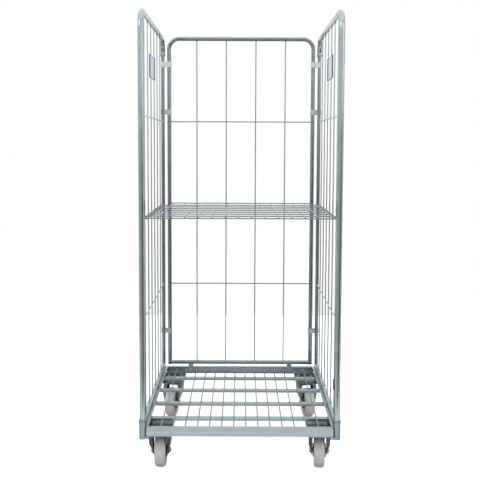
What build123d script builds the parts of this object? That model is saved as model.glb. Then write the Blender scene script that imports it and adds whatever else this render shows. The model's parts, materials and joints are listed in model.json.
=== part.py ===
from build123d import *
import math
import os

# A three-sided roll cage container: a steel base on four castors, two side panels whose
# posts stand in corner sockets, a rear panel clipped between them and a hinged wire shelf.
# Millimetres, +Z up, +Y towards the rear panel, origin on the floor under the centre.

# Overall sizes
overall_width = 728.0        # over the corner sockets
overall_depth = 820.0        # over the front and rear beams
overall_height = 1690.0      # floor to the top of the frames

# Side panel tubes and mesh
hoop_tube = 22.0             # front post, top rail and rear bend, one tube
rear_post_tube = 16.0        # lower rear post, plugged into the hoop
bottom_rail_tube = 16.0
tube_wall = 1.5
panel_bend = 60.0            # bend radius of the side frames, on the tube's centre line
rear_bend = 45.0             # and of the rear frame
hoop_tail = 6.0              # straight tube after the rear bend
collar_height = 9.0
collar_wall = 4.0
rear_post_insert = 8.0       # length of rear post inside the hoop
mesh_wire = 5.0
side_upright_wires = 6
bottom_rail_height = 202.0   # centre of the side panel's bottom rail
mesh_levels = 3              # level wires in every panel, at equal gaps
lock_ring_wire = 4.0
lock_ring_height = 216.0
wire_sleeve_tube = 9.0
wire_sleeve_length = 40.0
wire_sleeve_height = 316.0

# Label plates on the side panels
label_length = 162.0
label_height = 88.0
label_sheet = 1.2
label_rim = 5.0
label_card = 0.8
label_centre_height = 1511.0
label_wire_number = 3        # counted from the front

# Rear panel
rear_tube = 18.0
rear_upright_spacing = 644.0
rear_bottom_height = 213.0   # centre of the bottom tube
rear_upright_wires = 4
rear_wire_pitch = 132.0
clip_height = 23.0
clip_wall = 2.6
steel_clip_height = 22.0
steel_clip_wall = 1.8
steel_clip_mouth = 12.0
clip_top_level = 1568.0
clip_steel_levels = (1357.0, 361.0)

# Shelf
shelf_level = 941.0          # the side panels' wires that carry it
shelf_wire = 5.0
shelf_long_wire = 4.0
shelf_cross_count = 8
shelf_cross_first = 34.25     # from the front posts' centre plane
shelf_cross_last = 122.15     # from the rear posts' centre plane
shelf_long_count = 14
shelf_long_first = -296.0
shelf_long_pitch = 48.0
shelf_long_overhang = 4.0
shelf_hook_turn = 215.0      # degrees that the hinge hooks wrap
shelf_rest_tail = 5.0

# Base
base_top = 192.0
base_height = 31.0
beam_flange = 22.0
section_wall = 2.5
post_setback = 1.75          # of the front sockets behind the beam's face
beam_bead = 2.0              # the lower edge stands proud of the beam's face
beam_bead_height = 13.0
side_rail_flange = 19.0
cross_bar_width = 26.0
cross_bar_height = 10.0
cross_bar_wall = 2.0
cross_bar_count = 4
cross_bar_first = 126.25      # from the front posts' centre plane
cross_bar_last = 144.65       # from the rear posts' centre plane
deck_wire = 5.0
deck_wire_count = 14
deck_wire_pitch = 44.3
deck_wire_end_gap = 2.5
corner_round = 0.8

# Corner sockets
socket_wall = 2.0
socket_floor = 3.0
socket_drop = 13.0           # how far the socket hangs below the base
socket_rise = 21.0           # how far it stands above the deck
tab_length = 10.0
tab_sheet = 3.0
tab_height = 8.0
lug_length = 20.0
lug_wall = 3.0
lug_setbacks = (245.0, 480.0)
bracket_width = 20.0
bracket_offset = 226.0
bracket_wall = 3.4
bracket_tail = 24.0

# Castors
wheel_diameter = 125.0
wheel_width = 40.5
wheel_shoulder = 11.0
wheel_rim = 14.0
wheel_web = 12.0
wheel_ribs = 8
wheel_rib_sheet = 4.0
hub_diameter = 38.0
hub_width = 50.0
bush_diameter = 20.0
axle_diameter = 10.0
axle_head = 6.0
axle_head_flats = 17.0
fork_gap = 49.0              # between the legs at the crown
fork_gap_axle = 53.0         # between the legs at the axle
fork_width = 80.0            # over the legs at the crown
fork_width_axle = 62.0
fork_sheet = 3.5
fork_length = 68.0
fork_foot = 16.0             # radius of the leg's lower end
castor_trail = 34.0
castor_inset_x = 40.0        # from the end of the beams to the swivel axis
castor_inset_y = 95.7        # from the beam's face to the swivel axis
castor_turns = {"front_left": 0.0, "front_right": -5.0, "rear_left": 170.0, "rear_right": -170.0}
castor_plate = 3.5
castor_plate_size = (85.0, 105.0)
castor_holes = (60.0, 80.0)
mount_plate = 4.0
mount_plate_length = 165.0
mount_plate_inner = 252.0    # from the middle of the base to the plate's inner edge
bolt_diameter = 8.0
bolt_hole = 9.0
bolt_flats = 13.0
bolt_head = 5.3
bolt_nut = 6.5
kingpin_diameter = 10.0
kingpin_head = 18.0
kingpin_head_height = 3.0
race_outer = 58.0
race_inner = 40.0
upper_race = 3.5
lower_race = 2.0
ball_diameter = 4.6
ball_room = 5.0
ball_count = 12

# Clearances
slide_clearance = 0.3        # between posts and the things they slide in
running_fit = 0.05
weld_gap = 0.05              # between pieces that are welded together
hook_clearance = 0.3

# Derived places
socket_radius = hoop_tube / 2 + slide_clearance + socket_wall
post_x = overall_width / 2 - socket_radius
post_y = overall_depth / 2 - socket_radius - post_setback
base_bottom = base_top - base_height
socket_bottom = base_bottom - socket_drop
post_bottom = socket_bottom + socket_floor
hoop_top = overall_height - hoop_tube / 2
rear_top = overall_height - rear_tube / 2
hoop_end = hoop_top - panel_bend - hoop_tail
cross_bar_pitch = (2 * post_y - cross_bar_first - cross_bar_last) / (cross_bar_count - 1)
shelf_cross_pitch = (2 * post_y - shelf_cross_first - shelf_cross_last) / (shelf_cross_count - 1)
level_gap = (rear_top - rear_bottom_height) / (mesh_levels + 1)
levels = [rear_bottom_height + level_gap * (n + 1) for n in range(mesh_levels)]
side_levels_at = (levels[0], shelf_level, levels[2])
upright_x = post_x + mesh_wire / 2
level_x = post_x - mesh_wire / 2
panel_depth = 2 * post_y
rail_face = post_x - socket_radius - 0.4
plate_bottom = base_bottom - mount_plate
castor_plate_bottom = plate_bottom - castor_plate
crown_top = castor_plate_bottom - upper_race - ball_room - lower_race
crown_bottom = crown_top - fork_sheet
wheel_radius = wheel_diameter / 2


def rod(start, end, diameter):
    """A straight round bar between two points."""
    run = Vector(end) - Vector(start)
    plane = Plane(origin=start, z_dir=run.normalized())
    return extrude(plane * Circle(diameter / 2), amount=run.length)


def pipe(start, end, diameter, wall):
    """A straight tube between two points."""
    return rod(start, end, diameter) - rod(start, end, diameter - 2 * wall)


def swept(path, diameter, wall=0.0):
    """A bent tube, or a solid bar where no wall is given."""
    plane = Plane(origin=path @ 0, z_dir=path % 0)
    section = Circle(diameter / 2)
    if wall:
        section = section - Circle(diameter / 2 - wall)
    return sweep(plane * section, path=path)


def profile_bar(points, start, length, x_dir, z_dir):
    """A bar with a drawn section, extruded along z_dir from start."""
    outline = make_face(Polyline(*points, close=True))
    outline = fillet(outline.vertices(), radius=corner_round)
    plane = Plane(origin=start, x_dir=x_dir, z_dir=z_dir)
    return extrude(plane * outline, amount=length)


def box_between(low, high):
    """A block given by two opposite corners."""
    size = [b - a for a, b in zip(low, high)]
    middle = [(a + b) / 2 for a, b in zip(low, high)]
    return Pos(*middle) * Box(*size)


def hexagon(flats, height, centre, direction):
    """A hexagonal head or nut, its near face on centre."""
    outline = RegularPolygon(flats / 2, 6, major_radius=False, rotation=30)
    head = extrude(Plane(origin=centre, z_dir=direction) * outline, amount=height)
    return chamfer(head.edges().group_by(SortBy.LENGTH)[-1], length=0.6)


def save(name, shapes):
    """Write one node, as a single solid or as a group of separate solids."""
    solids = [solid for shape in shapes for solid in shape.solids()]
    node = Compound(children=solids) if len(solids) > 1 else solids[0]
    export_step(node, os.path.join("parts", name + ".step"))
    print(name, len(solids), "solids", round(sum(s.volume for s in solids)), "mm3")


# Base

def end_beam(side):
    """Front or rear beam: a channel open to the inside, with a bead along its lower edge."""
    bead = beam_bead
    wall = section_wall
    outline = [
        (bead, base_height), (bead, beam_bead_height + bead), (0, beam_bead_height), (0, 0),
        (beam_flange, 0), (beam_flange, wall), (bead + wall, wall),
        (bead + wall, base_height - wall), (beam_flange, base_height - wall),
        (beam_flange, base_height),
    ]
    half = rail_face
    start = (side * half, side * overall_depth / 2, base_bottom)
    return profile_bar(outline, start, 2 * half, (0, -side, 0), (-side, 0, 0))


def side_rail(side):
    """Side rail under the panel's bottom rail: an angle, its flange on top, cut round the sockets."""
    wall = section_wall
    outline = [
        (0, 0), (wall, 0), (wall, base_height - wall), (side_rail_flange, base_height - wall),
        (side_rail_flange, base_height), (0, base_height),
    ]
    half = overall_depth / 2 - beam_flange
    start = (side * post_x, -side * half, base_bottom)
    rail = profile_bar(outline, start, 2 * half, (-side, 0, 0), (0, side, 0))
    for end in (-1, 1):
        radius = post_diameter(end) / 2 + slide_clearance + socket_wall + weld_gap
        place = (side * post_x, end * post_y)
        rail = rail - rod((*place, 0), (*place, base_top + 1), 2 * radius)
    return rail


deck_wire_z = base_top - section_wall - 1.0 - deck_wire / 2
cross_bar_top = deck_wire_z - deck_wire / 2


def cross_bars():
    """Inverted channels under the deck wires, between the side rails."""
    width = cross_bar_width / 2
    wall = cross_bar_wall
    low = -cross_bar_height
    outline = [
        (-width, low), (-width + wall, low), (-width + wall, -wall), (width - wall, -wall),
        (width - wall, low), (width, low), (width, 0), (-width, 0),
    ]
    half = post_x - section_wall
    bars = []
    for n in range(cross_bar_count):
        y = -post_y + cross_bar_first + n * cross_bar_pitch
        start = (-half, y, cross_bar_top)
        bars.append(profile_bar(outline, start, 2 * half, (0, 1, 0), (1, 0, 0)))
    return bars


def deck_wires():
    """Front-to-back wires lying on the cross bars."""
    half = overall_depth / 2 - beam_bead - section_wall - deck_wire_end_gap
    first = -deck_wire_pitch * (deck_wire_count - 1) / 2
    wires = []
    for n in range(deck_wire_count):
        x = first + n * deck_wire_pitch
        wires.append(rod((x, -half, deck_wire_z), (x, half, deck_wire_z), deck_wire))
    return wires


def corners():
    """The four corners as (side, end): -1 is left or front, 1 is right or rear."""
    return [(side, end) for end in (-1, 1) for side in (-1, 1)]


def post_diameter(end):
    """The front posts are the hoop tube, the rear posts are thinner."""
    return hoop_tube if end < 0 else rear_post_tube


def socket_top(end):
    """The front sockets stand above the deck, the rear ones end level with it."""
    return base_top + socket_rise if end < 0 else base_top


def corner_sockets():
    """Closed-bottom sleeves that the side panels' posts stand in."""
    sockets = []
    for side, end in corners():
        bore = post_diameter(end) / 2 + slide_clearance
        centre = (side * post_x, end * post_y)
        outer = rod((*centre, socket_bottom), (*centre, socket_top(end)), 2 * (bore + socket_wall))
        inner = rod((*centre, post_bottom), (*centre, socket_top(end) + 1), 2 * bore)
        socket = outer - inner
        if end < 0:
            socket = socket - rail_slot(side)
        sockets.append(socket)
    return sockets


def rail_slot(side):
    """Slot, open at the top, that lets the panel's bottom rail down into a front socket."""
    radius = bottom_rail_tube / 2 + slide_clearance + 0.1
    start = (side * post_x, -post_y, bottom_rail_height)
    finish = (side * post_x, -post_y + 2 * socket_radius, bottom_rail_height)
    above = box_between(
        (side * post_x - radius, -post_y, bottom_rail_height),
        (side * post_x + radius, -post_y + 2 * socket_radius, base_top + 2 * socket_rise),
    )
    return rod(start, finish, 2 * radius) + above


def corner_tabs():
    """Short plates under the mounting plates, welded to the sockets."""
    tabs = []
    face = overall_depth / 2 - beam_bead - section_wall
    for side, end in corners():
        radius = post_diameter(end) / 2 + slide_clearance + socket_wall + weld_gap
        tab = box_between(
            (rail_face - tab_length, face - tab_sheet, plate_bottom - tab_height),
            (post_x, face, plate_bottom),
        )
        tab = tab - rod((post_x, post_y, 0), (post_x, post_y, base_top), 2 * radius)
        tab = tab.solids().sort_by(Axis.X)[0]
        tabs.append(in_corner(tab, side, end))
    return tabs


def in_corner(shape, side, end):
    """Turn a shape made for the right rear corner to another corner."""
    if side < 0:
        shape = mirror(shape, about=Plane.YZ)
    if end < 0:
        shape = mirror(shape, about=Plane.XZ)
    return shape


def mount_holes(end):
    """Centres of the castor bolts at the right corner of one end."""
    half_x, half_y = castor_holes[0] / 2, castor_holes[1] / 2
    x = rail_face - castor_inset_x
    y = overall_depth / 2 - castor_inset_y
    return [(x + a * half_x, y + b * half_y) for a in (-1, 1) for b in (-1, 1)]


def mount_plates():
    """Plates under the base corners that the castors bolt to, notched round the sockets."""
    plates = []
    edge = overall_depth / 2 - beam_bead
    for side, end in corners():
        radius = post_diameter(end) / 2 + slide_clearance + socket_wall + weld_gap
        plate = box_between(
            (mount_plate_inner, edge - mount_plate_length, plate_bottom),
            (post_x, edge, base_bottom),
        )
        plate = plate - rod((post_x, post_y, 0), (post_x, post_y, base_top), 2 * radius)
        plate = max(plate.solids(), key=lambda solid: solid.volume)
        for x, y in mount_holes(end):
            plate = plate - rod((x, y, plate_bottom - 1), (x, y, base_bottom + 1), bolt_hole)
        plates.append(in_corner(plate, side, end))
    return plates


def mount_bolts():
    """Hexagon bolts through the mounting plates, heads on top."""
    bolts = []
    for side, end in corners():
        for x, y in mount_holes(end):
            tip = castor_plate_bottom - bolt_nut - 1.0
            shank = rod((x, y, tip), (x, y, base_bottom), bolt_diameter)
            head = hexagon(bolt_flats, bolt_head, (x, y, base_bottom), (0, 0, 1))
            bolts.append(in_corner(shank + head, side, end))
    return bolts


def mount_nuts():
    """Nuts under the castor plates."""
    nuts = []
    for side, end in corners():
        for x, y in mount_holes(end):
            nut = hexagon(bolt_flats, bolt_nut, (x, y, castor_plate_bottom), (0, 0, -1))
            bore = bolt_diameter + 2 * weld_gap
            nut = nut - rod((x, y, 0), (x, y, base_top), bore)
            nuts.append(in_corner(nut, side, end))
    return nuts


def lugs(side):
    """Open cradles on a side rail that the side panel's bottom rail drops into."""
    radius = bottom_rail_tube / 2 + slide_clearance + 0.1
    cradles = []
    for setback in lug_setbacks:
        y = -post_y + setback
        cradle = box_between(
            (post_x - radius - lug_wall, y - lug_length / 2, base_top),
            (post_x + radius + lug_wall, y + lug_length / 2, bottom_rail_height + 2),
        )
        axis = ((post_x, y - lug_length, bottom_rail_height), (post_x, y + lug_length, bottom_rail_height))
        cradle = cradle - rod(*axis, 2 * radius)
        cradle = cradle - box_between(
            (post_x - radius, y - lug_length, bottom_rail_height),
            (post_x + radius, y + lug_length, bottom_rail_height + 10),
        )
        cradles.append(cradle if side > 0 else mirror(cradle, about=Plane.YZ))
    return cradles


def panel_brackets():
    """Cradles on the rear beam that the rear panel's bottom tube drops into."""
    radius = rear_tube / 2 + slide_clearance + 0.1
    beam_edge = overall_depth / 2 - beam_flange
    brackets = []
    for side in (-1, 1):
        x = side * bracket_offset
        half = bracket_width / 2
        block = box_between(
            (x - half, post_y - radius - bracket_wall, base_top),
            (x + half, post_y + radius + bracket_wall, rear_bottom_height - 2),
        )
        tail = box_between(
            (x - half, beam_edge - bracket_wall, base_top - bracket_tail), (x + half, beam_edge, base_top)
        )
        tongue = box_between(
            (x - half, beam_edge - bracket_wall, base_top), (x + half, beam_edge, base_top + bracket_wall)
        )
        bracket = block + tail + tongue
        channel = rod((x - bracket_width, post_y, rear_bottom_height),
                      (x + bracket_width, post_y, rear_bottom_height), 2 * radius)
        brackets.append(bracket - channel)
    return brackets


# Castors

def castor_place(side, end):
    """Swivel axis of one castor."""
    return (side * (rail_face - castor_inset_x), end * (overall_depth / 2 - castor_inset_y))


def ring(centre, low, high, outer, inner):
    """A flat ring about a vertical axis."""
    x, y = centre
    return rod((x, y, low), (x, y, high), outer) - rod((x, y, low - 1), (x, y, high + 1), inner)


def castor_plates():
    """Castor top plates with the pressed upper race."""
    plates = []
    for side, end in corners():
        x, y = castor_place(side, end)
        width, length = castor_plate_size
        plate = box_between(
            (x - width / 2, y - length / 2, castor_plate_bottom),
            (x + width / 2, y + length / 2, plate_bottom),
        )
        plate = fillet(plate.edges().filter_by(Axis.Z), radius=8)
        plate = plate + ring((x, y), castor_plate_bottom - upper_race, castor_plate_bottom, race_outer, race_inner)
        bore = kingpin_diameter + 2 * weld_gap
        plate = plate - rod((x, y, 0), (x, y, base_top), bore)
        for hole_x, hole_y in mount_holes(end):
            hole = rod((hole_x, hole_y, 0), (hole_x, hole_y, base_top), bolt_hole)
            plate = plate - in_corner(hole, side, end)
        plates.append(plate)
    return plates


def kingpins():
    """Rivets that hold the forks under the top plates."""
    pins = []
    for side, end in corners():
        x, y = castor_place(side, end)
        head_top = crown_bottom - slide_clearance
        pin = rod((x, y, head_top - 1), (x, y, plate_bottom), kingpin_diameter)
        head = rod((x, y, head_top - kingpin_head_height), (x, y, head_top), kingpin_head)
        pins.append(pin + head)
    return pins


def swivel_balls():
    """The balls between the two races of every castor."""
    balls = []
    pitch = (race_outer + race_inner) / 4
    height = crown_top + lower_race + ball_room / 2
    for side, end in corners():
        x, y = castor_place(side, end)
        for n in range(ball_count):
            angle = 2 * math.pi * n / ball_count
            place = (x + pitch * math.cos(angle), y + pitch * math.sin(angle), height)
            balls.append(Pos(*place) * Sphere(ball_diameter / 2))
    return balls


def fork_leg():
    """Right leg of a fork about the swivel axis at the origin, pressed with deep flanges."""
    top = crown_top
    foot = wheel_radius - fork_foot
    outline = Polyline(
        (fork_gap / 2, top), (fork_width / 2, top), (fork_width / 2, wheel_radius + 36),
        (fork_width_axle / 2 + 2, wheel_radius + 13), (fork_width_axle / 2, wheel_radius + 11),
        (fork_width_axle / 2, foot), (fork_gap_axle / 2, foot), (fork_gap_axle / 2, wheel_radius + 20),
        close=True,
    )
    leg = extrude(Plane.XZ * make_face(outline), amount=fork_length, both=True)
    side_view = leg_side_view(0.0)
    leg = leg & side_view
    pocket = leg_side_view(fork_sheet) & extrude(
        Plane.XZ * make_face(Polyline(
            (fork_gap / 2 - 1, top - fork_sheet), (fork_width / 2 - fork_sheet, top - fork_sheet),
            (fork_width / 2 - fork_sheet, wheel_radius + 36),
            (fork_width_axle / 2, wheel_radius + 17), (fork_gap / 2 - 1, wheel_radius + 17),
            close=True,
        )), amount=fork_length, both=True)
    return leg - pocket


def leg_side_view(inset):
    """A leg's outline seen along the axle: broad at the crown, round at the foot."""
    half = fork_length / 2 - inset
    foot = fork_foot - inset
    # the two straight edges run from the crown's ends to touch the foot's circle
    edges = []
    for start_y in (-half, half):
        start = Vector(start_y, crown_top - inset)
        centre = Vector(castor_trail, wheel_radius)
        span = centre - start
        reach = span.length
        turn = math.degrees(math.acos(foot / reach))
        away = (start - centre).normalized()
        sign = 1 if start_y > 0 else -1
        edges.append(centre + away.rotate(Axis.Z, -sign * turn) * foot)
    near, far = edges
    outline = Polyline((-half, crown_top - inset), (near.X, near.Y))
    outline = outline + ThreePointArc(
        (near.X, near.Y), (castor_trail, wheel_radius - foot), (far.X, far.Y)
    )
    outline = outline + Polyline((far.X, far.Y), (half, crown_top - inset), (-half, crown_top - inset))
    return extrude(Plane.YZ * make_face(outline), amount=fork_width, both=True)


def fork(side, end, turn):
    """Castor fork: crown with the lower race, and two legs bored for the axle."""
    half = fork_width / 2
    crown = box_between(
        (-half, -fork_length / 2, crown_bottom), (half, fork_length / 2, crown_top)
    )
    right = fork_leg()
    body = crown + right + mirror(right, about=Plane.YZ)
    body = body + ring((0, 0), crown_top, crown_top + lower_race, race_outer, race_inner)
    body = body - rod((0, 0, 0), (0, 0, base_top), kingpin_diameter + 2 * running_fit)
    body = body - rod(
        (-fork_width, castor_trail, wheel_radius), (fork_width, castor_trail, wheel_radius),
        axle_diameter + 0.4,
    )
    return at_castor(body, side, end, turn)


def at_castor(shape, side, end, turn):
    """Turn a shape about its swivel axis and put it at its castor."""
    x, y = castor_place(side, end)
    return Pos(x, y, 0) * Rot(0, 0, turn) * shape


def wheel(side, end, turn):
    """Nylon wheel: rounded tread, ribbed web and a long hub, bored for its bush."""
    half = wheel_width / 2
    radius = wheel_radius
    rim = radius - wheel_rim
    hub = hub_diameter / 2
    bore = bush_diameter / 2
    outline = Polyline(
        (bore, hub_width / 2), (hub - 1, hub_width / 2), (hub, hub_width / 2 - 1), (hub, wheel_web / 2),
        (rim, wheel_web / 2), (rim + 1.5, half), (radius - wheel_shoulder, half),
    )
    bend = math.sqrt(0.5)
    outline = outline + ThreePointArc(
        (radius - wheel_shoulder, half),
        (radius - wheel_shoulder + wheel_shoulder * bend, half - wheel_shoulder + wheel_shoulder * bend),
        (radius, half - wheel_shoulder),
    )
    outline = outline + Line((radius, half - wheel_shoulder), (radius, 0))
    outline = outline + Polyline((radius, 0), (bore, 0), (bore, hub_width / 2))
    upper = revolve(Plane.XY * make_face(outline), axis=Axis.Y)
    body = upper + mirror(upper, about=Plane.XZ)
    rib = box_between((hub - 2, -half + 4, -wheel_rib_sheet / 2), (rim + 1, half - 4, wheel_rib_sheet / 2))
    for n in range(wheel_ribs):
        body = body + Rot(0, 360 * n / wheel_ribs, 0) * rib
    body = Rot(0, 0, 90) * body
    return at_castor(Pos(0, castor_trail, wheel_radius) * body, side, end, turn)


def bush(side, end, turn):
    """Steel bush in the wheel's hub, which turns on the axle."""
    half = fork_gap_axle / 2 - slide_clearance
    sleeve = rod((-half, 0, 0), (half, 0, 0), bush_diameter - 2 * weld_gap)
    sleeve = sleeve - rod((-half - 1, 0, 0), (half + 1, 0, 0), axle_diameter + 2 * running_fit)
    return at_castor(Pos(0, castor_trail, wheel_radius) * sleeve, side, end, turn)


def axle(side, end, turn):
    """Axle bolt and its nut, one each side of the fork."""
    half = fork_width_axle / 2
    shaft = rod((-half, 0, 0), (half + axle_head + 2, 0, 0), axle_diameter)
    head = hexagon(axle_head_flats, axle_head, (-half, 0, 0), (-1, 0, 0))
    nut = hexagon(axle_head_flats, axle_head, (half, 0, 0), (1, 0, 0))
    nut = nut - rod((0, 0, 0), (fork_width, 0, 0), axle_diameter + 2 * weld_gap)
    place = Pos(0, castor_trail, wheel_radius)
    return [at_castor(place * piece, side, end, turn) for piece in (shaft + head, nut)]


# Side panels, made for the right and mirrored for the left

def hoop_path(tube_end):
    """Centre line of a side panel's hoop: front post, top rail and rear bend."""
    return FilletPolyline(
        (post_x, -post_y, post_bottom), (post_x, -post_y, hoop_top),
        (post_x, post_y, hoop_top), (post_x, post_y, tube_end), radius=panel_bend,
    )


def side_hoop():
    return swept(hoop_path(hoop_end), hoop_tube, tube_wall)


def rear_post():
    """Thinner rear post, plugged a little way into the hoop."""
    return pipe(
        (post_x, post_y, post_bottom), (post_x, post_y, hoop_end + rear_post_insert),
        rear_post_tube, tube_wall,
    )


def collar():
    """Ring that closes the step between the hoop and the rear post."""
    outer = rear_post_tube + 2 * collar_wall
    inner = rear_post_tube + 2 * weld_gap
    return ring((post_x, post_y), hoop_end - collar_height, hoop_end, outer, inner)


def side_envelope():
    """Solid shape of the posts and rails, for cutting the wires to length."""
    hoop = swept(hoop_path(hoop_end), hoop_tube + 2 * weld_gap)
    post = rod((post_x, post_y, post_bottom), (post_x, post_y, hoop_top), rear_post_tube + 2 * weld_gap)
    rail = rod(
        (post_x, -post_y, bottom_rail_height), (post_x, post_y, bottom_rail_height),
        bottom_rail_tube + 2 * weld_gap,
    )
    return [hoop, post, rail]


def cut_between(bar, envelope):
    """The longest piece of a bar that is left between the frame's tubes."""
    for tube in envelope:
        bar = bar - tube
    return max(bar.solids(), key=lambda solid: solid.volume)


def bottom_rail(envelope):
    rail = pipe(
        (post_x, -post_y, bottom_rail_height), (post_x, post_y, bottom_rail_height),
        bottom_rail_tube, tube_wall,
    )
    return cut_between(rail, envelope[:2])


def side_uprights(envelope):
    """Upright wires, just outside the panel's middle plane."""
    pitch = panel_depth / (side_upright_wires + 1)
    wires = []
    for n in range(side_upright_wires):
        y = -post_y + pitch * (n + 1)
        bar = rod((upright_x, y, bottom_rail_height), (upright_x, y, hoop_top), mesh_wire)
        wires.append(cut_between(bar, envelope))
    return wires


def side_levels(envelope):
    """Level wires, on the inside of the uprights; the shelf hangs on the middle one."""
    wires = []
    for z in side_levels_at:
        bar = rod((level_x, -post_y, z), (level_x, post_y, z), mesh_wire)
        wires.append(cut_between(bar, envelope))
    return wires


def label_place():
    """Centre of the label plate along the panel."""
    return -post_y + panel_depth / (side_upright_wires + 1) * label_wire_number


def label_plate():
    """Sheet with its two short edges folded towards the inside of the cage."""
    y = label_place()
    back = upright_x - mesh_wire / 2
    half = label_length / 2
    low = label_centre_height - label_height / 2
    high = label_centre_height + label_height / 2
    plate = box_between((back - label_sheet, y - half, low), (back, y + half, high))
    for edge in (-1, 1):
        rim_low = y + edge * half if edge < 0 else y + half - label_sheet
        plate = plate + box_between(
            (back - label_rim, rim_low, low), (back, rim_low + label_sheet, high)
        )
    return plate


def label_insert():
    """Card lying in the label plate."""
    y = label_place()
    front = upright_x - mesh_wire / 2 - label_sheet
    half = label_length / 2 - label_sheet - 2
    return box_between(
        (front - label_card, y - half, label_centre_height - label_height / 2 + 4),
        (front, y + half, label_centre_height + label_height / 2 - 4),
    )


def lock_ring():
    """Wire ring round the front post, above its socket."""
    radius = hoop_tube / 2 + lock_ring_wire / 2 + weld_gap
    return Pos(post_x, -post_y, lock_ring_height) * Torus(radius, lock_ring_wire / 2)


def wire_sleeve():
    """Short sleeve on the first upright wire of the right panel."""
    y = -post_y + panel_depth / (side_upright_wires + 1)
    half = wire_sleeve_length / 2
    ends = [(upright_x, y, wire_sleeve_height + s * half) for s in (-1, 1)]
    return rod(*ends, wire_sleeve_tube) - rod(*ends, mesh_wire + 2 * weld_gap)


# Rear panel

def rear_path():
    half = rear_upright_spacing / 2
    low = rear_bottom_height - rear_tube / 2
    return FilletPolyline(
        (-half, post_y, low), (-half, post_y, rear_top),
        (half, post_y, rear_top), (half, post_y, low), radius=rear_bend,
    )


def rear_envelope():
    half = rear_upright_spacing / 2
    hoop = swept(rear_path(), rear_tube + 2 * weld_gap)
    tube = rod(
        (-half, post_y, rear_bottom_height), (half, post_y, rear_bottom_height),
        rear_tube + 2 * weld_gap,
    )
    return [hoop, tube]


def rear_bottom_tube(envelope):
    half = rear_upright_spacing / 2
    tube = pipe(
        (-half, post_y, rear_bottom_height), (half, post_y, rear_bottom_height),
        rear_tube, tube_wall,
    )
    return cut_between(tube, envelope[:1])


def rear_uprights(envelope):
    """Upright wires, just behind the panel's middle plane."""
    first = -rear_wire_pitch * (rear_upright_wires - 1) / 2
    y = post_y + mesh_wire / 2
    wires = []
    for n in range(rear_upright_wires):
        x = first + n * rear_wire_pitch
        bar = rod((x, y, rear_bottom_height), (x, y, rear_top), mesh_wire)
        wires.append(cut_between(bar, envelope))
    return wires


def rear_levels(envelope):
    """Level wires in front of the uprights."""
    half = rear_upright_spacing / 2
    y = post_y - mesh_wire / 2
    return [
        cut_between(rod((-half, y, z), (half, y, z), mesh_wire), envelope) for z in levels
    ]


def clip(side, z, height, wall, mouth):
    """A band round a rear upright and the side panel's post beside it.

    It grips the upright, and slides on the post. With a mouth, it is open to the front there.
    """
    upright = side * rear_upright_spacing / 2
    post = side * post_x
    low, high = z - height / 2, z + height / 2
    grip = rear_tube / 2 + weld_gap
    slide = rear_post_tube / 2 + slide_clearance
    radii = ((upright, grip + wall), (post, slide + wall))
    body = None
    for x, radius in radii:
        disc = rod((x, post_y, low), (x, post_y, high), 2 * radius)
        body = disc if body is None else body + disc
    inner, outer = sorted((upright, post))
    web = slide + wall
    body = body + box_between((inner, post_y - 0.6 * web, low), (outer, post_y + 0.6 * web, high))
    body = body - rod((upright, post_y, low - 1), (upright, post_y, high + 1), 2 * grip)
    body = body - rod((post, post_y, low - 1), (post, post_y, high + 1), 2 * slide)
    if mouth:
        body = body - box_between(
            (post - mouth / 2, post_y - 3 * web, low - 1), (post + mouth / 2, post_y, high + 1)
        )
    return body


# Shelf

def shelf_cross_wires():
    """Side-to-side wires, hooked round the left panel's wire and resting on the right one's."""
    reach = mesh_wire / 2 + hook_clearance + shelf_wire / 2
    top = shelf_level + reach
    turn = math.radians(shelf_hook_turn)
    half_turn = turn / 2
    wires = []
    for n in range(shelf_cross_count):
        y = -post_y + shelf_cross_first + n * shelf_cross_pitch
        hinge = Vector(-level_x, y, shelf_level)

        def on_hook(angle):
            return hinge + Vector(-math.sin(angle), 0, math.cos(angle)) * reach

        rest = Vector(level_x, y, shelf_level)
        quarter = math.sqrt(0.5) * reach
        path = ThreePointArc(on_hook(turn), on_hook(half_turn), on_hook(0))
        path = path + Line(on_hook(0), (level_x, y, top))
        path = path + ThreePointArc(
            (level_x, y, top), rest + Vector(quarter, 0, quarter), rest + Vector(reach, 0, 0)
        )
        path = path + Line(
            rest + Vector(reach, 0, 0), rest + Vector(reach, 0, -shelf_rest_tail)
        )
        wires.append(swept(path, shelf_wire))
    return wires


def shelf_long_wires():
    """Front-to-back wires, on top of the cross wires."""
    first = -post_y + shelf_cross_first - shelf_long_overhang
    last = -post_y + shelf_cross_first + (shelf_cross_count - 1) * shelf_cross_pitch + shelf_long_overhang
    reach = mesh_wire / 2 + hook_clearance + shelf_wire
    z = shelf_level + reach + shelf_long_wire / 2
    wires = []
    for n in range(shelf_long_count):
        x = shelf_long_first + n * shelf_long_pitch
        wires.append(rod((x, first, z), (x, last, z), shelf_long_wire))
    return wires


def on_both_sides(name, piece):
    """Save a right-hand piece, and its mirror image on the left."""
    shapes = piece if isinstance(piece, list) else [piece]
    save("right_" + name, shapes)
    save("left_" + name, [mirror(shape, about=Plane.YZ) for shape in shapes])


os.makedirs("parts", exist_ok=True)

save("base_front_beam", [end_beam(-1)])
save("base_rear_beam", [end_beam(1)])
save("base_right_rail", [side_rail(1)])
save("base_left_rail", [side_rail(-1)])
save("base_cross_bars", cross_bars())
save("base_deck_wires", deck_wires())
save("corner_sockets", corner_sockets())
save("corner_tabs", corner_tabs())
save("castor_mount_plates", mount_plates())
save("castor_mount_bolts", mount_bolts())
save("castor_mount_nuts", mount_nuts())
save("side_rail_cradles", lugs(-1) + lugs(1))
save("rear_panel_cradles", panel_brackets())
save("castor_top_plates", castor_plates())
save("castor_kingpins", kingpins())
save("castor_swivel_balls", swivel_balls())

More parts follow.
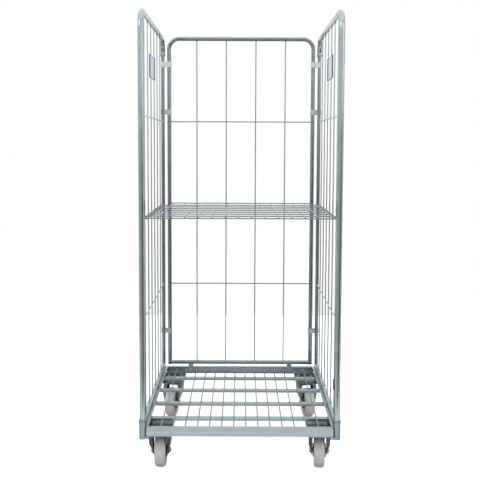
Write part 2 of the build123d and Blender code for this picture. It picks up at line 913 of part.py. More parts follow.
for (side, end), name in zip(corners(), ("front_left", "front_right", "rear_left", "rear_right")):
    turn = castor_turns[name]
    save(name + "_fork", [fork(side, end, turn)])
    save(name + "_wheel", [wheel(side, end, turn)])
    save(name + "_bush", [bush(side, end, turn)])
    save(name + "_axle", axle(side, end, turn))

side_tubes = side_envelope()
on_both_sides("hoop", side_hoop())
on_both_sides("rear_post", rear_post())
on_both_sides("collar", collar())
on_both_sides("bottom_rail", bottom_rail(side_tubes))
on_both_sides("upright_wires", side_uprights(side_tubes))
on_both_sides("level_wires", side_levels(side_tubes))
on_both_sides("label_plate", label_plate())
on_both_sides("label_card", label_insert())
on_both_sides("lock_ring", lock_ring())
save("right_wire_sleeve", [wire_sleeve()])

rear_tubes = rear_envelope()
save("rear_hoop", [swept(rear_path(), rear_tube, tube_wall)])
save("rear_bottom_tube", [rear_bottom_tube(rear_tubes)])
save("rear_upright_wires", rear_uprights(rear_tubes))
save("rear_level_wires", rear_levels(rear_tubes))
save("rear_top_clips", [clip(s, clip_top_level, clip_height, clip_wall, 0) for s in (-1, 1)])
save("rear_steel_clips", [
    clip(s, z, steel_clip_height, steel_clip_wall, steel_clip_mouth)
    for s in (-1, 1) for z in clip_steel_levels
])

save("shelf_cross_wires", shelf_cross_wires())
save("shelf_long_wires", shelf_long_wires())
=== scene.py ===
import json
import math

import bpy
import numpy as np
from mathutils import Matrix, Vector


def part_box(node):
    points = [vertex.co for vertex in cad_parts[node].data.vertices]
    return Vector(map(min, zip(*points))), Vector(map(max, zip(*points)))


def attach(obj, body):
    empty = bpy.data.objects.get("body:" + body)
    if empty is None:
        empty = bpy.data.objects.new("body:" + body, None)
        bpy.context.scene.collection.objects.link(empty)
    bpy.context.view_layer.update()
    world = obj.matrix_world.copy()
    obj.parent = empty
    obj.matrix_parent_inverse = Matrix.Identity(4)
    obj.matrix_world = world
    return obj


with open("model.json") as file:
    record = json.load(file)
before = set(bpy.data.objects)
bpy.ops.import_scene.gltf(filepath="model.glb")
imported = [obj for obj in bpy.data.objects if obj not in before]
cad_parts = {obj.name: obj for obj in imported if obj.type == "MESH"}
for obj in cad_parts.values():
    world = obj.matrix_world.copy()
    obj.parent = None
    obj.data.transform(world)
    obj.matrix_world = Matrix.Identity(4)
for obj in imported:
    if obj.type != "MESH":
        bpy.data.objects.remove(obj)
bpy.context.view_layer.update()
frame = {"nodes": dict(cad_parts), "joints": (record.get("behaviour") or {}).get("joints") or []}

nodes = frame["nodes"]
print("roll cage: frame loaded,", len(nodes), "nodes")


# colours and material nodes

def linearColour(hexText):
    # sRGB hex text to the linear numbers that Blender's sockets take
    channels = [int(hexText[i:i + 2], 16) / 255 for i in (0, 2, 4)]
    return tuple(c / 12.92 if c <= 0.04045 else ((c + 0.055) / 1.055) ** 2.4 for c in channels) + (1.0,)


def newMaterial(name):
    material = bpy.data.materials.new(name)
    material.use_nodes = True
    return material, material.node_tree, material.node_tree.nodes["Principled BSDF"]


def addNode(tree, kind, values=None, links=None, **settings):
    # one node, with its socket values, the sockets that feed it and its own settings
    node = tree.nodes.new(kind)
    for key, value in settings.items():
        setattr(node, key, value)
    for key, value in (values or {}).items():
        node.inputs[key].default_value = value
    for key, source in (links or {}).items():
        tree.links.new(source, node.inputs[key])
    return node


def colourStops(ramp, stops):
    # places the stops of a colour ramp: (position, hex)
    elements = ramp.color_ramp.elements
    while len(elements) < len(stops):
        elements.new(0.5)
    for element, (position, hexText) in zip(elements, stops):
        element.position = position
        element.color = linearColour(hexText)


def zincPlate(name, look):
    # Bright zinc on mild steel, electroplated over the drawn or rolled surface and passivated.
    # The eye sees a cool light metal, cloudy in patches of a few centimetres, with fine lines
    # left by the mill and a duller film where the rinse water dried.
    material, tree, surface = newMaterial(name)
    place = addNode(tree, "ShaderNodeTexCoord").outputs["Object"]
    cloud = addNode(tree, "ShaderNodeTexNoise", {"Scale": 1 / look["cloudSize"], "Detail": 4.0,
                    "Roughness": 0.6}, {"Vector": place}).outputs["Fac"]
    lines = addNode(tree, "ShaderNodeMapping", {"Scale": look["lineStretch"]}, {"Vector": place})
    drawn = addNode(tree, "ShaderNodeTexNoise", {"Scale": 1 / look["lineSize"], "Detail": 3.0},
                    {"Vector": lines.outputs["Vector"]}).outputs["Fac"]
    both = addNode(tree, "ShaderNodeMix", {"Factor": look["lineShare"]}, data_type="FLOAT",
                   links={"A": cloud, "B": drawn}).outputs["Result"]
    tint = addNode(tree, "ShaderNodeValToRGB", links={"Fac": both})
    colourStops(tint, look["colours"])
    sheen = addNode(tree, "ShaderNodeMapRange", {"From Min": 0.3, "From Max": 0.7,
                    "To Min": look["roughness"][0], "To Max": look["roughness"][1]}, {"Value": both})
    relief = addNode(tree, "ShaderNodeBump", {"Strength": look["bump"], "Distance": 0.0002},
                     {"Height": both})
    surface.inputs["Metallic"].default_value = look["metallic"]
    tree.links.new(tint.outputs["Color"], surface.inputs["Base Color"])
    tree.links.new(sheen.outputs["Result"], surface.inputs["Roughness"])
    tree.links.new(relief.outputs["Normal"], surface.inputs["Normal"])
    return material


# Hoops and bottom rails: cold-drawn steel tube, bent and then plated. Smooth and bright, with
# faint lines along the tube.
tubeLook = {
    "cloudSize": 0.060,           # metres between plating clouds
    "lineSize": 0.006,
    "lineStretch": (1.0, 1.0, 0.08),
    "lineShare": 0.30,
    "colours": [(0.30, "9DA6A9"), (0.55, "ABB4B7"), (0.80, "BAC2C4")],
    "roughness": (0.08, 0.15),
    "bump": 0.02,
    "metallic": 1.0,
}
# The rear panel's tube and the thinner rear posts: the same plating, a darker tone.
rearTubeLook = dict(tubeLook, colours=[(0.30, "7F888B"), (0.55, "8D9699"), (0.80, "9CA5A7")])
# Drawn wire, welded into a mesh and plated with it: greyer and duller than the tube.
wireLook = dict(tubeLook, cloudSize=0.03, lineSize=0.003,
                colours=[(0.30, "828A8C"), (0.55, "929A9C"), (0.80, "A2AAAB")],
                roughness=(0.16, 0.26))
# The side panels' wires: the same drawn wire, painted lighter as a painted reflection of the bright
# ceiling and side lights they face.
paintedLitWireLook = dict(wireLook, colours=[(0.30, "A3AAAC"), (0.55, "B1B8BA"), (0.80, "C0C6C8")])
# Front and rear beams: folded sheet steel, plated. Pale and satin, mill lines along the beam.
beamLook = dict(tubeLook, cloudSize=0.09, lineSize=0.006, lineStretch=(0.06, 1.0, 1.0),
                colours=[(0.30, "A3ADB2"), (0.55, "ADB6BB"), (0.80, "B8C0C4")],
                roughness=(0.30, 0.44))
# Side rails, cross bars and cradles: rolled strip, plated, with a slight green cast.
sectionLook = dict(beamLook, colours=[(0.30, "9BAAAA"), (0.55, "A8B7B7"), (0.80, "B5C2C2")])
# Corner sockets and tabs: seamless tube and strip, plated, darker and glossier than the beams.
socketLook = dict(beamLook, lineStretch=(1.0, 1.0, 0.1),
                  colours=[(0.30, "7C8B90"), (0.55, "8A999D"), (0.80, "99A6AA")],
                  roughness=(0.12, 0.20))
# Castor plates: pressed from hot-rolled plate, dull grey-green, the same in every direction. The dark
# tone is partly the duller steel and partly painted shade, for the shade the plates sit in under the
# deck.
shadedPlateLook = dict(beamLook, lineStretch=(1.0, 1.0, 1.0),
                 colours=[(0.30, "66726F"), (0.55, "76827F"), (0.80, "889390")],
                 roughness=(0.36, 0.5))
# Forks: deep-drawn steel, passivated. Satin and cloudy in small patches, darker than the beams.
forkLook = dict(tubeLook, cloudSize=0.02, lineSize=0.003, lineStretch=(1.0, 1.0, 1.0),
                colours=[(0.30, "66716F"), (0.55, "778280"), (0.80, "8A9492")],
                roughness=(0.32, 0.48))
# Bolts, nuts, washers and steel clips: cold-headed or pressed steel, the lightest of the zinc.
boltLook = dict(tubeLook, cloudSize=0.012, lineSize=0.002, lineStretch=(1.0, 1.0, 1.0),
                colours=[(0.30, "B3B8B8"), (0.55, "C4C9C9"), (0.80, "D6DADA")],
                roughness=(0.26, 0.40))
# Label plates: thin sheet with a blue-grey cast, brushed one way.
labelLook = dict(tubeLook, cloudSize=0.05, lineSize=0.004, lineStretch=(1.0, 0.1, 1.0),
                 colours=[(0.30, "5E6D7B"), (0.55, "6F7E8C"), (0.80, "82909D")],
                 roughness=(0.30, 0.45))
# Weld metal: melted wire and spatter under the plating, finely mottled and duller.
weldLook = dict(tubeLook, cloudSize=0.004, lineSize=0.0015, lineStretch=(1.0, 1.0, 1.0),
                colours=[(0.30, "788082"), (0.55, "8A9294"), (0.80, "9CA4A6")],
                roughness=(0.30, 0.48))


def mouldedPlastic(name, look):
    # Injection-moulded plastic: even colour with a very slight mottle, soft gloss, and scuffs
    # that read as small darker, rougher patches.
    material, tree, surface = newMaterial(name)
    place = addNode(tree, "ShaderNodeTexCoord").outputs["Object"]
    mottle = addNode(tree, "ShaderNodeTexNoise", {"Scale": 1 / look["mottleSize"], "Detail": 5.0},
                     {"Vector": place}).outputs["Fac"]
    scuff = addNode(tree, "ShaderNodeTexNoise", {"Scale": 1 / look["scuffSize"], "Detail": 6.0,
                    "Roughness": 0.7, "Distortion": 0.8}, {"Vector": place}).outputs["Fac"]
    tint = addNode(tree, "ShaderNodeValToRGB", links={"Fac": mottle})
    colourStops(tint, look["colours"])
    worn = addNode(tree, "ShaderNodeMapRange", {"From Min": 0.58, "From Max": 0.72,
                   "To Min": 0.0, "To Max": look["scuffDepth"]}, {"Value": scuff})
    mixed = addNode(tree, "ShaderNodeMix", data_type="RGBA", links={"Factor": worn.outputs["Result"]})
    tree.links.new(tint.outputs["Color"], mixed.inputs[6])
    mixed.inputs[7].default_value = linearColour(look["scuffColour"])
    sheen = addNode(tree, "ShaderNodeMapRange", {"From Min": 0.3, "From Max": 0.7,
                    "To Min": look["roughness"][0], "To Max": look["roughness"][1]}, {"Value": scuff})
    relief = addNode(tree, "ShaderNodeBump", {"Strength": look["bump"], "Distance": 0.0004},
                     {"Height": mottle})
    surface.inputs["Metallic"].default_value = 0.0
    surface.inputs["IOR"].default_value = look["ior"]
    tree.links.new(mixed.outputs[2], surface.inputs["Base Color"])
    tree.links.new(sheen.outputs["Result"], surface.inputs["Roughness"])
    tree.links.new(relief.outputs["Normal"], surface.inputs["Normal"])
    return material


# Wheels: moulded polyamide, an even warm off-white with a soft gloss, scuffed by floors.
wheelLook = {
    "mottleSize": 0.008,
    "scuffSize": 0.02,
    "colours": [(0.30, "C3C2C0"), (0.70, "D0CFCD")],
    "scuffColour": "989996",
    "scuffDepth": 0.5,
    "roughness": (0.32, 0.50),
    "bump": 0.2,
    "ior": 1.53,
}
# Upper clips: moulded polypropylene, paler and cleaner than the wheels.
clipLook = dict(wheelLook, colours=[(0.30, "D0D4D4"), (0.70, "DCE0E0")], scuffDepth=0.25)
# Label cards: a pale blue card behind a smooth clear film, so it has the film's gloss.
cardLook = dict(wheelLook, colours=[(0.30, "B9CCDC"), (0.70, "C6D7E5")], scuffDepth=0.1,
                roughness=(0.25, 0.35), ior=1.49)
# Sleeve and thread guards: black vinyl and black moulded plastic, dull, greyer where rubbed. On the
# thread guards the black also stands in for the shade between wheel and fork leg (painted shade).
sleeveAndShadeDiscLook = dict(wheelLook, colours=[(0.30, "1B1D1E"), (0.70, "26292A")], scuffColour="4A4D4E",
                  roughness=(0.45, 0.6))

finishes = {
    "weld": zincPlate("weldMetal", weldLook),
    "tube": zincPlate("zincPlatedTube", tubeLook),
    "rearTube": zincPlate("zincPlatedRearTube", rearTubeLook),
    "wire": zincPlate("zincPlatedWire", wireLook),
    "paintedLitWire": zincPlate("paintedLitZincWire", paintedLitWireLook),
    "beam": zincPlate("zincPlatedBeam", beamLook),
    "section": zincPlate("zincPlatedSection", sectionLook),
    "socket": zincPlate("zincPlatedSocket", socketLook),
    "plate": zincPlate("dullShadedZincPlate", shadedPlateLook),
    "fork": zincPlate("passivatedForkSteel", forkLook),
    "bolt": zincPlate("zincPlatedHardware", boltLook),
    "label": zincPlate("labelPlateSheet", labelLook),
    "wheel": mouldedPlastic("mouldedPolyamide", wheelLook),
    "clip": mouldedPlastic("paleMouldedClip", clipLook),
    "card": mouldedPlastic("paleBlueCard", cardLook),
    "sleeve": mouldedPlastic("blackSleeveAndShadeDisc", sleeveAndShadeDiscLook),
}

nodeFinishes = {
    "tube": ["hoop", "bottom_rail"],
    "rearTube": ["rear_post", "rear_bottom_tube", "rear_hoop", "collar"],
    "wire": ["wires", "lock_ring"],
    "paintedLitWire": ["left_upright", "right_upright", "left_level", "right_level"],
    "beam": ["beam"],
    "section": ["left_rail", "right_rail", "cross_bars", "cradles"],
    "socket": ["corner_sockets", "corner_tabs"],
    "plate": ["mount_plates", "castor_top_plates"],
    "fork": ["fork"],
    "bolt": ["steel_clips", "bolts", "nuts", "kingpins", "balls", "axle", "bush"],
    "label": ["label_plate"],
    "wheel": ["wheel"],
    "clip": ["top_clips"],
    "card": ["label_card"],
    "sleeve": ["sleeve"],
}
for finish, words in nodeFinishes.items():
    for name, node in nodes.items():
        if any(word in name for word in words):
            node.data.materials.clear()
            node.data.materials.append(finishes[finish])
print("roll cage: materials on the CAD nodes")


# small pieces added to the CAD parts

def turnedShape(profile, sides, ring):
    # A surface of revolution about local Z: the profile's point (r, z) goes to
    # (r cos a, r sin a, z) at equal steps of a. A ring's profile is a closed loop; any other
    # profile is closed by a pole at each end. Gives the points and the faces, four-sided ones
    # apart from three-sided ones.
    profile = np.asarray(profile, float)
    angle = np.arange(sides) * 2 * math.pi / sides
    x = profile[:, 0:1] * np.cos(angle)
    y = profile[:, 0:1] * np.sin(angle)
    z = profile[:, 1:2] + 0 * angle
    points = np.stack([x, y, z], axis=-1).reshape(-1, 3)
    rows = len(profile)
    row, column = np.meshgrid(np.arange(rows if ring else rows - 1), np.arange(sides), indexing="ij")
    nextRow, nextColumn = (row + 1) % rows, (column + 1) % sides
    quads = np.stack([row * sides + column, row * sides + nextColumn,
                      nextRow * sides + nextColumn, nextRow * sides + column], axis=-1).reshape(-1, 4)
    faceGroups = [quads]
    if not ring:
        around = np.arange(sides)
        onward = (around + 1) % sides
        low, high = len(points), len(points) + 1
        points = np.vstack([points, [[0, 0, profile[0, 1]], [0, 0, profile[-1, 1]]]])
        lowCap = np.stack([onward, around, around * 0 + low], axis=-1)
        top = (rows - 1) * sides
        highCap = np.stack([top + around, top + onward, around * 0 + high], axis=-1)
        faceGroups.append(np.vstack([lowCap, highCap]))
    return points, faceGroups


def placeShapes(points, centres, axes):
    # Copies of a shape: point (x, y, z) goes to centre + x X + y Y + z Z, where Z is the axis, X
    # is square to it and level (or, for an upright axis, along the world's Y) and Y completes them.
    centres = np.asarray(centres, float)
    zAxis = np.asarray(axes, float)
    zAxis = zAxis / np.linalg.norm(zAxis, axis=1, keepdims=True)
    helper = np.where(np.abs(zAxis[:, 2:3]) > 0.9, [[1.0, 0.0, 0.0]], [[0.0, 0.0, 1.0]])
    xAxis = np.cross(helper, zAxis)
    xAxis = xAxis / np.linalg.norm(xAxis, axis=1, keepdims=True)
    yAxis = np.cross(zAxis, xAxis)
    turns = np.stack([xAxis, yAxis, zAxis], axis=1)
    return np.einsum("kc,ncd->nkd", points, turns) + centres[:, None, :]


def makePiece(name, body, material, points, faces):
    mesh = bpy.data.meshes.new(name)
    mesh.from_pydata(points.tolist(), [], faces)
    mesh.polygons.foreach_set("use_smooth", np.ones(len(mesh.polygons), bool))
    mesh.materials.append(material)
    mesh.update()
    piece = bpy.data.objects.new(name, mesh)
    bpy.context.scene.collection.objects.link(piece)
    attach(piece, body)


def turnedPieces(name, body, material, profile, centres, axes, sides, ring=False):
    # One object that holds the same turned shape at every place. The corners of copy number k
    # are those of the first, raised by k times the number of points in one shape.
    points, faceGroups = turnedShape(profile, sides, ring)
    placed = placeShapes(points, centres, axes)
    firstPoint = np.arange(len(placed))[:, None, None] * len(points)
    faces = []
    for group in faceGroups:
        faces += (group[None] + firstPoint).reshape(-1, group.shape[1]).tolist()
    makePiece(name, body, material, placed.reshape(-1, 3), faces)


def domeProfile(radius, height, degreesFrom, degreesTo, steps):
    # the profile (radius cos a, height sin a) of a low dome or bead
    angle = np.linspace(degreesFrom, degreesTo, steps) * math.pi / 180
    return np.stack([radius * np.cos(angle), height * np.sin(angle)], axis=1)


def crossings(xs, ys):
    # every pairing of two rows of places, as two flat arrays
    first, second = np.meshgrid(xs, ys)
    return first.ravel(), second.ravel()


def span(node):
    low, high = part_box(node)
    return np.array(low), np.array(high)


def middles(low, high, inset, count):
    # the centres of evenly spaced wires, from the outer faces of the first and the last
    return np.linspace(low + inset, high - inset, count)


weldDot = {
    "radius": 0.0034,        # the squeezed ring round a crossing of two wires
    "height": 0.0013,
    "deckShare": 1.15,       # the deck's welds are this much larger
    "deckRise": 0.0004,      # above the cross bars
    "sides": 9,
}
weldToe = {
    "radius": 0.0034,        # at the tube, small enough to pass a clip's mouth
    "height": 0.0036,        # along the wire
    "sink": 0.0012,
    "collar": 0.0006,        # how far the foot of the weld stands off the wire
}
# counts of wires in each mesh
wire = {"radius": 0.0025, "shelfLong": 0.0020, "sideUprights": 6, "rearUprights": 4, "rearLevels": 3,
        "deck": 14, "shelfCross": 8, "shelfLongCount": 14}
crossBar = {"count": 4, "halfWidth": 0.013}

dotProfile = domeProfile(weldDot["radius"], weldDot["height"], -80, 80, 6)
toeProfile = [(weldToe["radius"], -weldToe["sink"]),
              (weldToe["radius"] * 0.98, weldToe["height"] / 6),
              (wire["radius"] + weldToe["collar"], weldToe["height"] / 2),
              (wire["radius"] + weldToe["collar"] / 2, weldToe["height"] * 0.8),
              (wire["radius"] + weldToe["collar"] / 12, weldToe["height"])]
shelfHinge = next(joint for joint in frame["joints"] if joint["name"] == "shelf_hinge")
shelfLevel = shelfHinge["pos_m"][2]


def meshWelds(name, body, uprightNode, levelNode, uprightCount, heights, along):
    # Resistance welds of one mesh panel: a dot at every crossing and a toe at every wire's end.
    # along is 1 where the level wires run front to back and 0 where they run side to side.
    upLow, upHigh = span(uprightNode)
    levLow, levHigh = span(levelNode)
    across = middles(upLow[along], upHigh[along], wire["radius"], uprightCount)
    other = 1 - along
    upPlace = (upLow[other] + upHigh[other]) / 2
    levPlace = (levLow[other] + levHigh[other]) / 2
    gridAcross, gridHeight = crossings(across, heights)
    dots = np.zeros((len(gridAcross), 3))
    dots[:, along] = gridAcross
    dots[:, other] = (upPlace + levPlace) / 2
    dots[:, 2] = gridHeight
    out = np.zeros(3)
    out[other] = 1
    turnedPieces(name + "CrossingWelds", body, finishes["weld"], dotProfile, dots,
                 np.tile(out, (len(dots), 1)), weldDot["sides"])
    toes = []
    ways = []
    for place in across:
        for height, way in ((upLow[2], 1), (upHigh[2], -1)):
            spot = np.zeros(3)
            spot[along] = place
            spot[other] = upPlace
            spot[2] = height
            toes.append(spot)
            ways.append((0, 0, way))
    for height in heights:
        for end, way in ((levLow[along], 1), (levHigh[along], -1)):
            spot = np.zeros(3)
            spot[along] = end
            spot[other] = levPlace
            spot[2] = height
            turn = np.zeros(3)
            turn[along] = way
            toes.append(spot)
            ways.append(turn)
    turnedPieces(name + "EndWelds", body, finishes["weld"], toeProfile,
                 toes, ways, weldDot["sides"])


for side in ("left", "right"):
    low, high = span(side + "_level_wires")
    heights = [low[2] + wire["radius"], shelfLevel, high[2] - wire["radius"]]
    meshWelds(side + "Panel", side + "_panel", side + "_upright_wires", side + "_level_wires",
              wire["sideUprights"], heights, 1)
low, high = span("rear_level_wires")
meshWelds("rearPanel", "rear_panel", "rear_upright_wires", "rear_level_wires", wire["rearUprights"],
          middles(low[2], high[2], wire["radius"], wire["rearLevels"]), 0)

deckLow, deckHigh = span("base_deck_wires")
barLow, barHigh = span("base_cross_bars")
deckX = middles(deckLow[0], deckHigh[0], wire["radius"], wire["deck"])
barY = middles(barLow[1], barHigh[1], crossBar["halfWidth"], crossBar["count"])
gridX, gridY = crossings(deckX, barY)
deckDots = np.stack([gridX, gridY, np.full(len(gridX), barHigh[2] + weldDot["deckRise"])], axis=1)
turnedPieces("deckWelds", "base", finishes["weld"], dotProfile * weldDot["deckShare"],
             deckDots, np.tile((0, 0, 1.0), (len(deckDots), 1)), weldDot["sides"])

crossLow, crossHigh = span("shelf_cross_wires")
longLow, longHigh = span("shelf_long_wires")
shelfY = middles(crossLow[1], crossHigh[1], wire["radius"], wire["shelfCross"])
shelfX = middles(longLow[0], longHigh[0], wire["shelfLong"], wire["shelfLongCount"])
gridX, gridY = crossings(shelfX, shelfY)
shelfDots = np.stack([gridX, gridY, np.full(len(gridX), longLow[2])], axis=1)
turnedPieces("shelfWelds", "shelf", finishes["weld"], dotProfile, shelfDots,
             np.tile((0, 0, 1.0), (len(shelfDots), 1)), weldDot["sides"])
print("roll cage: wire welds")


# base: corner seams, plate seams, washers and a rivet

seam = {
    "radius": 0.0026,
    "ripple": 0.0017,        # length of one ripple of the bead
    "rippleDepth": 0.14,
    "cornerInset": 0.004,    # from the outer face of a beam
    "cornerTrim": 0.004,     # a corner seam is this much shorter than the beam is high
    "plateLength": 0.024,
    "plateInner": 0.252,     # from the middle of the base to a mounting plate
    "plateFirst": 0.018,     # from the plate's inner edge to its first seam
    "plateStep": 0.045,
    "sides": 8,
}


def seamProfile(length):
    # a rod with rounded ends whose radius ripples along its length, as a weld bead's does
    place = np.linspace(0.0, 1.0, max(12, int(length / seam["ripple"] * 4)))
    ends = np.clip(np.minimum(place, 1 - place) * length / seam["radius"], 0.04, 1.0) ** 0.5
    ripple = 1 + seam["rippleDepth"] * np.sin(2 * math.pi * place * length / seam["ripple"])
    return np.stack([seam["radius"] * ends * ripple, (place - 0.5) * length], axis=1)


frontLow, frontHigh = span("base_front_beam")
rearLow, rearHigh = span("base_rear_beam")
beamHeight = frontHigh[2] - frontLow[2]
cornerSeams = [(x, y, frontLow[2] + beamHeight / 2) for x in (frontLow[0], frontHigh[0])
               for y in (frontLow[1] + seam["cornerInset"], rearHigh[1] - seam["cornerInset"])]
turnedPieces("cornerSeams", "base", finishes["weld"],
             seamProfile(beamHeight - seam["cornerTrim"]), cornerSeams,
             [(0, 0, 1)] * len(cornerSeams), seam["sides"])
plateTop = span("castor_mount_plates")[1][2]
plateSeams = [(side * (seam["plateInner"] + seam["plateFirst"] + seam["plateStep"] * k), y, plateTop)
              for side in (-1, 1) for y in (frontHigh[1], rearLow[1]) for k in range(2)]
turnedPieces("plateSeams", "base", finishes["weld"], seamProfile(seam["plateLength"]),
             plateSeams, [(1, 0, 0)] * len(plateSeams), seam["sides"])

bolts = {"halfFlats": 0.0065, "halfCorners": 0.0075, "spanX": 0.060, "spanY": 0.080}
boltHigh = span("castor_mount_bolts")[1]
boltX = [sign * (boltHigh[0] - bolts["halfFlats"] - inner)
         for sign in (-1, 1) for inner in (0, bolts["spanX"])]
boltY = [sign * (boltHigh[1] - bolts["halfCorners"] - inner)
         for sign in (-1, 1) for inner in (0, bolts["spanY"])]
washerPlaces = [(x, y, plateTop) for x in boltX for y in boltY]
washer = {"bore": 0.0041, "radius": 0.0086, "thickness": 0.0015, "edge": 0.0004}
washerProfile = [(washer["bore"], 0.0), (washer["radius"] - washer["edge"], 0.0),
                 (washer["radius"], washer["edge"]),
                 (washer["radius"], washer["thickness"] - washer["edge"]),
                 (washer["radius"] - washer["edge"], washer["thickness"]),
                 (washer["bore"], washer["thickness"])]
turnedPieces("washers", "base", finishes["bolt"], washerProfile,
             washerPlaces, [(0, 0, 1)] * len(washerPlaces), 24, ring=True)
rivet = {
    "radius": 0.0042,
    "height": 0.0019,
    "fromMiddle": 0.275,
    "recess": 0.002,         # the beam's face behind its proud lower edge
    "rise": 0.019,           # above the beam's lower edge
}
turnedPieces("beamRivet", "base", finishes["bolt"],
             domeProfile(rivet["radius"], rivet["height"], 0, 84, 6),
             [(rivet["fromMiddle"], frontLow[1] + rivet["recess"], frontLow[2] + rivet["rise"])],
             [(0, -1, 0)], 16)
print("roll cage: base details")


# castors: thread guards beside each hub, dark discs that also stand in for the shade between the wheel
# and the fork legs (painted shade)

shadeDisc = {
    "inner": 0.0135,
    "outer": 0.0270,
    "near": 0.0212,          # distances along the axle from the middle of the wheel
    "far": 0.0249,
    "edge": 0.0006,
}
shadeDiscProfile = [(shadeDisc["inner"], shadeDisc["near"]), (shadeDisc["outer"] - 0.0010, shadeDisc["near"]),
                (shadeDisc["outer"], shadeDisc["near"] + shadeDisc["edge"]),
                (shadeDisc["outer"] - 0.0015, shadeDisc["far"] - shadeDisc["edge"]),
                (shadeDisc["outer"] * 0.8, shadeDisc["far"]), (shadeDisc["inner"], shadeDisc["far"])]
for joint in frame["joints"]:
    if joint["name"].endswith("_spin"):
        spin = np.array(joint["axis"], float)
        turnedPieces(joint["name"].removesuffix("_spin") + "ThreadGuardShadeDiscs", joint["child"],
                     finishes["sleeve"], shadeDiscProfile, [joint["pos_m"]] * 2, [spin, -spin], 32, ring=True)
print("roll cage: castor guards")


# lock rings: the knot and the bent tail of the wire

ringEnd = {
    "knotRadius": 0.0034,
    "knotHalfHeight": 0.0042,
    "inset": 0.0035,         # from the ring's outer side
    "forward": 0.006,        # in front of the ring's middle
    "tailLength": 0.010,
    "tailLean": 0.35,
    "sides": 12,
}
knotProfile = domeProfile(ringEnd["knotRadius"], ringEnd["knotHalfHeight"], -80, 80, 7)
for side, sign in (("left", -1), ("right", 1)):
    low, high = span(side + "_lock_ring")
    outer = high[0] if sign > 0 else low[0]
    middle = (low + high) / 2
    ringWire = (high[2] - low[2]) / 2
    tailProfile = [(ringWire * 0.5, -ringEnd["tailLength"] - 0.0005),
                   (ringWire * 0.9, -ringEnd["tailLength"]),
                   (ringWire * 0.9, 0.0), (ringWire * 0.5, 0.0010)]
    spot = (outer - sign * ringEnd["inset"], middle[1] - ringEnd["forward"], middle[2])
    turnedPieces(side + "RingKnot", side + "_panel", finishes["wire"], knotProfile,
                 [spot], [(0, 0, 1)], ringEnd["sides"])
    turnedPieces(side + "RingTail", side + "_panel", finishes["wire"], tailProfile,
                 [spot], [(0, ringEnd["tailLean"], 1)], ringEnd["sides"])
print("roll cage: ring knots and tails")


# studio

studio = {
    "floorColour": "FFFFFF",
    "floorHalfWidth": 2.4,
    "floorFront": -1.15,
    "floorBack": 2.4,
    # the grey of the floor under and behind the object is painted shade
    "floorPaintedShade": "B0B3B4",
    "greyFrom": -0.62,            # where the floor begins to turn grey, front to back
    "greyTo": -0.44,
    "floorGlow": 0.80,            # lifts the floor to the white of the backdrop for the camera
    "floorRoughness": 0.9,
    "lens": 59.49,                # millimetres, on a sensor 36 mm wide
    "sensor": 36.0,
    "cameraPlace": (0.0, -3.1947, 1.205),
    "cameraDown": 4.586,          # degrees
    "cameraRoll": 0.22,
    "shift": (-0.00125, -0.0629),
}

floorMesh = bpy.data.meshes.new("studioFloor")
wide, near, far = studio["floorHalfWidth"], studio["floorFront"], studio["floorBack"]
floorCorners = [(-wide, near, 0), (wide, near, 0), (wide, far, 0), (-wide, far, 0)]
floorMesh.from_pydata(floorCorners, [], [(0, 1, 2, 3)])
floor = bpy.data.objects.new("studioFloor", floorMesh)
bpy.context.scene.collection.objects.link(floor)
floorMaterial, floorTree, floorSurface = newMaterial("paleFloor")
# the floor is brightest in front of the object and greyer under and behind it: painted shade, so that the
# metal reflects a darker floor there
floorPlace = addNode(floorTree, "ShaderNodeTexCoord").outputs["Object"]
floorDepth = addNode(floorTree, "ShaderNodeSeparateXYZ", links={"Vector": floorPlace}).outputs["Y"]
floorShade = addNode(floorTree, "ShaderNodeMapRange", {"From Min": studio["greyFrom"],
                     "From Max": studio["greyTo"]}, {"Value": floorDepth})
floorTint = addNode(floorTree, "ShaderNodeValToRGB", links={"Fac": floorShade.outputs["Result"]})
colourStops(floorTint, [(0.0, studio["floorColour"]), (1.0, studio["floorPaintedShade"])])
floorTree.links.new(floorTint.outputs["Color"], floorSurface.inputs["Base Color"])
floorSeen = addNode(floorTree, "ShaderNodeLightPath").outputs["Is Camera Ray"]
floorLift = addNode(floorTree, "ShaderNodeMath", {1: studio["floorGlow"]}, {0: floorSeen},
                    operation="MULTIPLY")
floorTree.links.new(floorLift.outputs["Value"], floorSurface.inputs["Emission Strength"])
floorSurface.inputs["Roughness"].default_value = studio["floorRoughness"]
floorSurface.inputs["Emission Color"].default_value = linearColour(studio["floorColour"])
floorMesh.materials.append(floorMaterial)

room = {
    # brightness of the walls by the angle from the camera's side, to the right positive
    "walls": [(-180, 1.0), (-140, 1.0), (-112, 0.80), (-60, 0.55), (-25, 0.62), (0, 0.50), (14, 0.50),
              (24, 0.07), (50, 0.07), (64, 0.72), (112, 0.85), (140, 1.0), (180, 1.0)],
    "ceiling": 1.0,
    "ceilingFrom": -0.09,         # sine of the elevation where the walls begin to lighten
    "ceilingTo": 0.13,
}

world = bpy.data.worlds.new("studioWorld")
bpy.context.scene.world = world
world.use_nodes = True
sky = world.node_tree
background = sky.nodes["Background"]
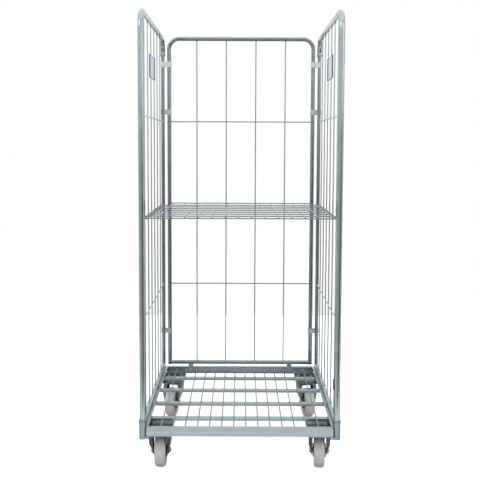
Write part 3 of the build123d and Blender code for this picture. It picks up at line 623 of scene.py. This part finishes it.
# The room round the object: bright behind it and overhead, grey at its sides, with one dark
# stretch of wall in front and to the right, so that round tubes carry the narrow dark stripe of
# a studio shot. The camera itself sees plain white.
direction = addNode(sky, "ShaderNodeTexCoord").outputs["Generated"]
parts = addNode(sky, "ShaderNodeSeparateXYZ", links={"Vector": direction}).outputs
front = addNode(sky, "ShaderNodeMath", {1: -1.0}, {0: parts["Y"]}, operation="MULTIPLY").outputs["Value"]
bearing = addNode(sky, "ShaderNodeMath", links={0: parts["X"], 1: front},
                  operation="ARCTAN2").outputs["Value"]
turnShare = addNode(sky, "ShaderNodeMapRange", {"From Min": -math.pi, "From Max": math.pi},
                    {"Value": bearing})
shade = addNode(sky, "ShaderNodeValToRGB", links={"Fac": turnShare.outputs["Result"]})
stops = shade.color_ramp.elements
while len(stops) < len(room["walls"]):
    stops.new(0.5)
for stop, (azimuth, level) in zip(stops, room["walls"]):
    stop.position = (azimuth + 180) / 360
    stop.color = (level, level * 1.01, level * 1.02, 1)
upward = addNode(sky, "ShaderNodeMapRange", {"From Min": room["ceilingFrom"],
                 "From Max": room["ceilingTo"]}, {"Value": parts["Z"]}, interpolation_type="SMOOTHSTEP")
whole = addNode(sky, "ShaderNodeMix", data_type="RGBA", links={"Factor": upward.outputs["Result"]})
sky.links.new(shade.outputs["Color"], whole.inputs[6])
whole.inputs[7].default_value = (room["ceiling"], room["ceiling"], room["ceiling"], 1)
seen = addNode(sky, "ShaderNodeLightPath").outputs["Is Camera Ray"]
plain = addNode(sky, "ShaderNodeMix", data_type="RGBA", links={"Factor": seen})
sky.links.new(whole.outputs[2], plain.inputs[6])
plain.inputs[7].default_value = (1.0, 1.0, 1.0, 1.0)
sky.links.new(plain.outputs[2], background.inputs["Color"])
background.inputs["Strength"].default_value = 1.0


def softLight(name, place, aim, size, power):
    light = bpy.data.lights.new(name, "AREA")
    light.shape = "RECTANGLE"
    light.size, light.size_y = size
    light.energy = power
    lamp = bpy.data.objects.new(name, light)
    lamp.location = place
    lamp.rotation_euler = (Vector(aim) - Vector(place)).to_track_quat("-Z", "Y").to_euler()
    bpy.context.scene.collection.objects.link(lamp)


softLight("keyLight", (-2.6, -2.6, 3.2), (0, 0, 0.9), (1.6, 1.6), 20)
softLight("fillLight", (2.8, -2.2, 2.2), (0, 0, 0.8), (1.6, 1.6), 8)
softLight("topLight", (0, 0.8, 4.6), (0, 0.6, 0), (7.0, 7.0), 60)

cameraData = bpy.data.cameras.new("camera")
cameraData.lens = studio["lens"]
cameraData.sensor_width = studio["sensor"]
cameraData.shift_x, cameraData.shift_y = studio["shift"]
camera = bpy.data.objects.new("camera", cameraData)
bpy.context.scene.collection.objects.link(camera)
turn = Matrix.Rotation(math.radians(90 - studio["cameraDown"]), 4, "X")
roll = Matrix.Rotation(math.radians(studio["cameraRoll"]), 4, "Z")
camera.matrix_world = Matrix.Translation(studio["cameraPlace"]) @ turn @ roll
bpy.context.scene.camera = camera
bpy.context.scene.view_settings.view_transform = "Standard"
